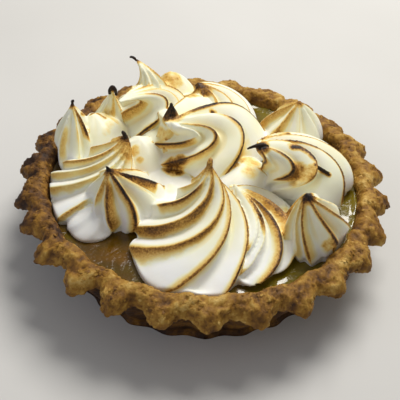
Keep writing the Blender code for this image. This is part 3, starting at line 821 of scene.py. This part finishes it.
def fluteWave():
    # 1 on a flute's tip, -1 in a valley, each flute a little different
    rng = Random(crustLook["seed"])
    flutes = crustLook["flutes"]
    tall = [rng.uniform(*crustLook["fluteGain"]) for _ in range(flutes)]
    lean = [rng.uniform(-crustLook["fluteLean"], crustLook["fluteLean"]) for _ in range(flutes)]
    columns = flutes * crustLook["columnsPerFlute"]
    wave = []
    for column in range(columns + 1):
        turn = column / crustLook["columnsPerFlute"]
        nearest = round(turn)
        offset = turn - nearest
        here = nearest % flutes
        side = (here + (1 if offset > 0 else -1)) % flutes
        share = abs(offset)
        gain = tall[here] * (1 - share) + tall[side] * share
        shift = lean[here] * (1 - share) + lean[side] * share
        wave.append(gain * math.cos(2 * math.pi * (offset - shift * (1 - 2 * share))))
    return wave


def crustProfile():
    # rows of radius, height, flute depth, crumb share and rim share, from the foot over the rim inward
    base, top, floor = crustLook["baseRadius"], rimTop / mm, crustLook["floor"]
    lip = tartRadius / mm - crustLook["lipInset"]
    inner = lip - crustLook["rimWidth"]
    curd = curdTop / mm
    knots = (
        (0.0, 0.0, 0.0, 0.0, 0.0), (base, 0.0, 0.5, 0.0, 0.0), (base + 1.3, 0.7, 0.6, 0.3, 0.0),
        (base + 4.0, 0.30 * top, 0.9, 0.6, 0.0), (base + 6.6, 0.55 * top, 1.2, 0.8, 0.0),
        (base + 8.0, 0.705 * top, 1.5, 0.6, 0.0), (lip - 1.3, 0.76 * top, 2.0, 0.6, 0.3),
        (lip - 0.1, 0.775 * top, 2.2, 1.0, 0.9), (lip, 0.83 * top, 2.1, 1.0, 1.0),
        (lip - 0.9, 0.93 * top, 1.7, 1.0, 1.0), (lip - 2.9, 0.99 * top, 1.1, 1.0, 1.0),
        (lip - 5.0, top, 0.6, 0.9, 1.0), (inner, 0.93 * top, 0.35, 0.6, 0.9),
        (inner - 0.5, curd, 0.0, 0.2, 0.7),
        (base + 2.2, 0.47 * top, 0.0, 0.0, 0.0), (base - 0.9, floor, 0.0, 0.0, 0.0),
        (0.0, floor, 0.0, 0.0, 0.0),
    )
    rows = [knots[0]]
    last = len(knots) - 1
    for i in range(last):
        around = (knots[min(max(k, 0), last)] for k in range(i - 1, i + 3))
        before, here, after, beyond = (np.array(knot) for knot in around)
        shows = 1 <= i <= last - 3
        length = math.hypot(*(after - here)[:2])
        count = max(1, round(length / (crustLook["rowStep"] if shows else crustLook["hiddenStep"])))
        for step in range(1, count + 1):
            t = step / count
            if shows:  # a smooth curve through the knots
                square = 2 * before - 5 * here + 4 * after - beyond
                cube = 3 * here - before - 3 * after + beyond
                bent = 0.5 * (2 * here + (after - before) * t + square * t**2 + cube * t**3)
            else:
                bent = here + (after - here) * t
            rows.append(tuple(bent))
    return rows


def chain(name, points, fields):
    # a row of loose points that carries places and fields into a tree
    mesh = bpy.data.meshes.new(name)
    mesh.from_pydata(points, [], [])
    for title, values in fields.items():
        storeFloat(mesh, title, values)
    return newObject(name, mesh)


def crustTree():
    # a grid wrapped around the profile and the flutes, then roughened
    bench, wires = geometryTree("flutedCrust", {
        "Columns Chain": "Object", "Columns": "Int", "Rows": "Int", "First Flute": "Float",
        "Top": "Float", "Base Radius": "Float", "Tart Radius": "Float", "Droop": "Float",
        "Relief": "Float", "Crust": "Material",
    })
    sockets = {"Vertices X": wires["Columns"] + 1, "Vertices Y": wires["Rows"]}
    grid = bench.add("GeometryNodeMeshGrid", None, sockets)
    index = bench.add("GeometryNodeInputIndex")
    row = bench.maths("MODULO", index, wires["Rows"])
    column = bench.maths("FLOOR", (index + 0.5) / wires["Rows"])
    rows, columns = wires["Geometry"], bench.geometryOf(wires["Columns Chain"])
    here = bench.add("GeometryNodeInputPosition")

    def sample(points, at, value, kind="FLOAT"):
        sockets = {"Geometry": points, "Value": value, "Index": at}
        return bench.add("GeometryNodeSampleIndex", {"data_type": kind}, sockets)

    radius = sample(rows, row, here, "FLOAT_VECTOR").split()
    height = radius.part("Z")
    flute, crumb, rim = (sample(rows, row, bench.named(name)) for name in ("flute", "crumb", "rim"))
    lobe = sample(columns, column, bench.named("wave"))
    angle = wires["First Flute"] + column / wires["Columns"] * (2 * math.pi)
    out = radius + flute * lobe
    share = (radius - wires["Base Radius"]) / (wires["Tart Radius"] - wires["Base Radius"])
    high = height.over(0.6 * wires["Top"]) * flute.over(0.3 * mm)
    droop = wires["Droop"] * lobe.atLeast(-0.4) * bench.maths("POWER", share, 3.0) * high
    place = bench.add("ShaderNodeCombineXYZ", None, {
        0: out * bench.maths("COSINE", angle), 1: out * bench.maths("SINE", angle), 2: height - droop,
    })
    geometry = bench.add("GeometryNodeSetPosition", None, {"Geometry": grid, "Position": place})
    for title, value in (("crumb", crumb), ("rim", rim), ("lobe", lobe)):
        geometry = bench.store(geometry, title, value)
    sockets = {"Geometry": geometry, "Distance": 0.01 * mm}
    geometry = bench.add("GeometryNodeMergeByDistance", None, sockets)
    kept, torn = bench.named("crumb"), bench.named("rim")
    around = bench.add("ShaderNodeVectorMath", {"operation": "MULTIPLY"}, {0: here, 1: (1.0, 1.0, 0.3)})
    leaf = 1 - abs(around.grain(3.4 * mm) - 0.5) * 6.0
    flake = 1 - abs(here.grain(1.5 * mm, 3.0, 0.6) - 0.5) * 6.0
    leaf, flake = leaf.atLeast(-0.4), flake.atLeast(-0.2)  # no pinholes
    pits = here.grain(1.2 * mm, 3.0, 0.65).rise(0.32, 0.52)
    broad, fine = here.grain(4.2 * mm), here.grain(0.7 * mm, 3.0, 0.65)
    push = 1.0 * (broad - 0.5) + 0.5 * (fine - 0.5) + 0.5 * (leaf - 0.5) * torn
    push = push + (0.38 * (flake - 0.5) + 0.3 * (pits - 0.6)) * (0.3 + 0.7 * torn)
    geometry = bench.store(geometry, "relief", push * kept)
    geometry = bench.swell(geometry, push * kept * wires["Relief"])
    closeTree(bench, geometry, wires["Crust"])
    return bench.tree


def crustMaterial():
    paint = Paint("bakedShortcrust", {"Specular IOR Level": 0.35})
    place = paint.place
    broad = place.grain(7.0 * mm, 3.0)
    mottle = place.grain(1.8 * mm, 4.0, 0.6)
    speck = place.grain(0.35 * mm, 3.0, 0.7)
    rim = paint.field("rim")
    tips = paint.field("lobe").rise(0.3, 1.0) * rim
    tone = 0.5 + (broad - 0.5) * 0.9 + (mottle - 0.5) * 1.15 + (speck - 0.5) * 0.4 - 0.08 * tips
    across = place.split()
    # lighter on raised flakes and darker in hollows through the relief: a painted highlight and painted
    # shade; darker off the rim: painted shade under the rim; the burnt field darkens the burnt tabs and
    # paints shade into the rim's hollows
    tone = tone + paint.field("relief") * 0.55 - (1 - rim) * 0.2 - paint.field("burnt") * 0.8
    # darker towards the left side: painted shade where the key light falls weakly; darker below the lip:
    # painted shade under the rim
    tone = tone - 0.24 * across.rise(-18 * mm, -42 * mm) - 0.12 * across.part("Z").rise(15 * mm, 10 * mm)
    paint.tones(crustLook["tones"], tone)
    paint.feed("Roughness", 0.45 + 0.4 * mottle)
    paint.bump(mottle * 0.8 + speck * 0.5, 0.9, 0.5 * mm)
    return paint.material


def crumbTree():
    # small flat flakes of baked dough, thickest on the rim
    bench, wires = geometryTree("crumbFlakes", {
        "Spacing": "Float", "Density": "Float", "Small": "Float", "Large": "Float", "Seed": "Int",
        "Crust": "Material",
    })

    def drawn(low, high, place):
        # a random number or vector for each flake; place tells its seed from the others'
        seed = wires["Seed"] + place
        if isinstance(low, tuple):
            sockets = {0: low, 1: high, "Seed": seed}
            return bench.add("FunctionNodeRandomValue", {"data_type": "FLOAT_VECTOR"}, sockets)
        sockets = {2: low, 3: high, "Seed": seed}
        return bench.add("FunctionNodeRandomValue", {"data_type": "FLOAT"}, sockets, 1)

    bunched = bench.add("GeometryNodeInputPosition").grain(3.0 * mm).rise(0.38, 0.6)
    raised = (bench.named("relief") + 0.3).rise(0.0, 0.5)
    points = bench.add("GeometryNodeDistributePointsOnFaces", {"distribute_method": "POISSON"}, {
        "Mesh": wires["Geometry"], "Distance Min": wires["Spacing"], "Density Max": wires["Density"],
        "Density Factor": bench.named("rim") * bunched * raised, "Seed": wires["Seed"],
    })
    spin = drawn((-0.3, -0.3, -3.14), (0.3, 0.3, 3.14), 1)
    size = drawn(wires["Small"], wires["Large"], 2)
    flat = drawn((0.8, 0.6, 0.16), (1.6, 1.2, 0.3), 3)
    # each flake's random tint is stored as relief, so the flakes come out lighter than the crust around
    # them: a random tone and a painted highlight on them
    tintAndHighlight = drawn(0.05, 0.6, 4)
    turned = bench.add("FunctionNodeRotateRotation", {"rotation_space": "LOCAL"}, {
        "Rotation": points.part("Rotation"),
        "Rotate By": bench.add("FunctionNodeEulerToRotation", None, {"Euler": spin}),
    })
    scale = bench.add("ShaderNodeVectorMath", {"operation": "SCALE"}, {0: flat, "Scale": size})
    ball = bench.add("GeometryNodeMeshIcoSphere", None, {"Radius": 1.0, "Subdivisions": 1})
    instances = bench.add("GeometryNodeInstanceOnPoints", None, {
        "Points": points, "Instance": ball, "Rotation": turned, "Scale": scale,
    })
    for title, value in (("relief", tintAndHighlight), ("rim", 1.0)):
        instances = bench.store(instances, title, value, "INSTANCE")
    closeTree(bench, instances, wires["Crust"], smooth=False)
    return bench.tree


def burnAndShadeRim(mesh):
    # the dark burnt tabs and the painted shade in the hollows, as one field
    points = readPoints(mesh) / mm
    burnt = np.zeros(len(points))
    for angle, radius, height, reach, strength in rimBurnsAndShade:
        turn = math.radians(angle)
        place = (radius * math.cos(turn), radius * math.sin(turn), height)
        burnt = np.maximum(burnt, strength * spot(points, place, reach, crustLook["burnAndShadeEdges"]))
    # the field holds both the burnt tabs and the painted shade in the hollows
    storeFloat(mesh, "burnt", burnt)


radii, heights, depths, crumbShares, rimShares = np.array(crustProfile()).T
places = np.stack([radii * mm, 0 * radii, heights * mm], -1).tolist()
crustShell = chain("crustShell", places, {
    "flute": depths * mm, "crumb": crumbShares, "rim": rimShares,
})
wave = fluteWave()
columnChain = chain("columnChain", [(0.0, 0.0, 0.0)] * len(wave), {"wave": wave})
crustPaint = crustMaterial()
runTree(crustShell, crustTree(), {
    "Columns Chain": columnChain, "Columns": len(wave) - 1, "Rows": len(places),
    "First Flute": math.radians(crustLook["firstFlute"]), "Top": rimTop,
    "Base Radius": crustLook["baseRadius"] * mm, "Tart Radius": tartRadius,
    "Droop": crustLook["droop"] * mm, "Relief": crustLook["relief"] * mm, "Crust": crustPaint,
})
bpy.data.objects.remove(columnChain)
burnAndShadeRim(crustShell.data)
crumbs = newObject("crumbs", crustShell.data)
runTree(crumbs, crumbTree(), {**crumbLook, "Crust": crustPaint})
burnAndShadeRim(crumbs.data)
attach(crumbs, "root")
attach(crustShell, "root")
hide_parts("crust")
print("crust", len(crustShell.data.vertices), "points, crumbs", len(crumbs.data.polygons), "faces")


# The curd is a glossy pool of rhubarb filling; sizes in mm, swells in radians per metre.
curdLook = dict(
    radius=41.4, depth=6.0, edgeRise=0.5, edgeFrom=0.955, edgeWaves=(13, 29), rings=90, sides=300,
    swell=0.35, swells=(310, 270, 240),
    tones=(
        (0.0, (0.16, 0.118, 0.004)), (0.3, (0.092, 0.060, 0.001)), (0.55, (0.085, 0.043, 0.001)),
        (0.8, (0.13, 0.057, 0.001)), (1.0, (0.17, 0.083, 0.003)),
    ),
)


def curdMesh():
    # rings from the middle outwards, uneven on top, closed by a flat bottom
    few, many = curdLook["edgeWaves"]
    long, cross, bend = curdLook["swells"]
    bm = bmesh.new()
    radius = curdLook["radius"] * mm
    rings = []
    for i in range(1, curdLook["rings"] + 1):
        share = i / curdLook["rings"]
        climb = curdLook["edgeRise"] * mm * smoothstep(share, curdLook["edgeFrom"], 1.0)
        ring = []
        for j in range(curdLook["sides"]):
            angle = 2 * math.pi * j / curdLook["sides"]
            x, y = math.cos(angle) * radius * share, math.sin(angle) * radius * share
            rise = climb * (0.6 + 0.4 * math.sin(few * angle) * math.sin(many * angle + 1.0))
            lump = 0.5 * math.sin(x * long + 1.3 * math.sin(y * bend)) + 0.5 * math.sin(y * cross + 2.1)
            ring.append(bm.verts.new((x, y, curdTop + rise + curdLook["swell"] * mm * 0.5 * lump)))
        rings.append(ring)
    low = [bm.verts.new((vert.co.x, vert.co.y, curdTop - curdLook["depth"] * mm)) for vert in rings[-1]]
    rings.append(low)
    middle = bm.verts.new((0, 0, curdTop))
    count = curdLook["sides"]
    for j in range(count):
        bm.faces.new((rings[0][j], rings[0][(j + 1) % count], middle))
    for near, far in zip(rings, rings[1:]):
        for j in range(count):
            k = (j + 1) % count
            bm.faces.new((near[j], far[j], far[k], near[k]))
    bm.faces.new(low)
    bmesh.ops.recalc_face_normals(bm, faces=bm.faces)
    mesh = bpy.data.meshes.new("rhubarbCurd")
    bm.to_mesh(mesh)
    bm.free()
    mesh.shade_smooth()
    return mesh


def curdMaterial():
    paint = Paint("rhubarbCurd", {
        "Coat Weight": 0.85, "Coat Roughness": 0.03, "Specular IOR Level": 0.15,
    })
    place = paint.place
    broad = place.grain(9.0 * mm)
    mid = place.grain(2.4 * mm, 3.0, 0.6)
    across = place.split()
    tone = 0.45 + (broad - 0.5) * 1.4 + (mid - 0.5) * 0.9 - 0.35 * across.rise(-6 * mm, 18 * mm)
    paint.tones(curdLook["tones"], tone)
    paint.feed("Roughness", 0.12 + 0.15 * mid)
    paint.bump(mid + 0.4 * broad + 0.16 * place.grain(1.1 * mm), 0.7, 0.8 * mm)
    return paint.material


rhubarbCurd = newObject("rhubarbCurd", curdMesh())
rhubarbCurd.data.materials.append(curdMaterial())
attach(rhubarbCurd, "root")
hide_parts("filling")
print("curd done")


# The stage, in metres: a pale floor, a soft room, and lights with their place, size, power and colour.
stageLook = dict(
    floorSize=4.0, floorTones=((0.3, (0.60, 0.59, 0.57)), (0.7, (0.64, 0.63, 0.61))), floorGrain=0.04,
    roomColour=(1.0, 0.985, 0.95, 1.0), roomStrength=0.285, lightTarget=(0, 0, 0.02),
    keyLight=((0.11, 0.25, 0.45), 0.25, 2.75, (1.0, 0.98, 0.93)),
    fillLight=((-0.34, -0.26, 0.25), 0.3, 0.3, (0.76, 0.80, 1.0)),
)
viewLook = dict(elevation=41.7, distance=0.243, lens=81.9, roll=3.7, target=(-0.0007, -0.0048, 0.016))


def layFloor():
    bpy.ops.mesh.primitive_plane_add(size=stageLook["floorSize"], location=(0, 0, 0))
    floor = bpy.context.object
    floor.name = "paleFloor"
    paint = Paint("palePaper", {"Roughness": 0.85})
    paint.tones(stageLook["floorTones"], paint.place.grain(stageLook["floorGrain"]))
    floor.data.materials.append(paint.material)


def softLight(name):
    place, size, power, colour = stageLook[name]
    light = bpy.data.lights.new(name, "AREA")
    light.size = size
    light.energy = power
    light.color = colour
    lamp = newObject(name, light)
    lamp.location = place
    aim = Vector(stageLook["lightTarget"]) - Vector(place)
    lamp.rotation_euler = aim.to_track_quat("-Z", "Y").to_euler()


def softRoom():
    world = bpy.data.worlds.new("softRoom")
    world.use_nodes = True
    room = world.node_tree.nodes["Background"]
    room.inputs["Color"].default_value = stageLook["roomColour"]
    room.inputs["Strength"].default_value = stageLook["roomStrength"]
    bpy.context.scene.world = world
    bpy.context.scene.view_settings.view_transform = "Standard"


def placeCamera():
    # looks along +Y and down at the target, turned by the roll
    tilt = Matrix.Rotation(math.radians(90 - viewLook["elevation"]), 3, "X")
    turn = tilt @ Matrix.Rotation(math.radians(viewLook["roll"]), 3, "Z")
    place = Vector(viewLook["target"]) + turn @ Vector((0, 0, viewLook["distance"]))
    camera = newObject("camera", bpy.data.cameras.new("camera"))
    camera.matrix_world = Matrix.Translation(place) @ turn.to_4x4()
    camera.data.lens = viewLook["lens"]
    camera.data.sensor_width = 36.0
    camera.data.clip_start = 0.01
    bpy.context.scene.camera = camera


layFloor()
softLight("keyLight")
softLight("fillLight")
softRoom()
placeCamera()
print("stage set")
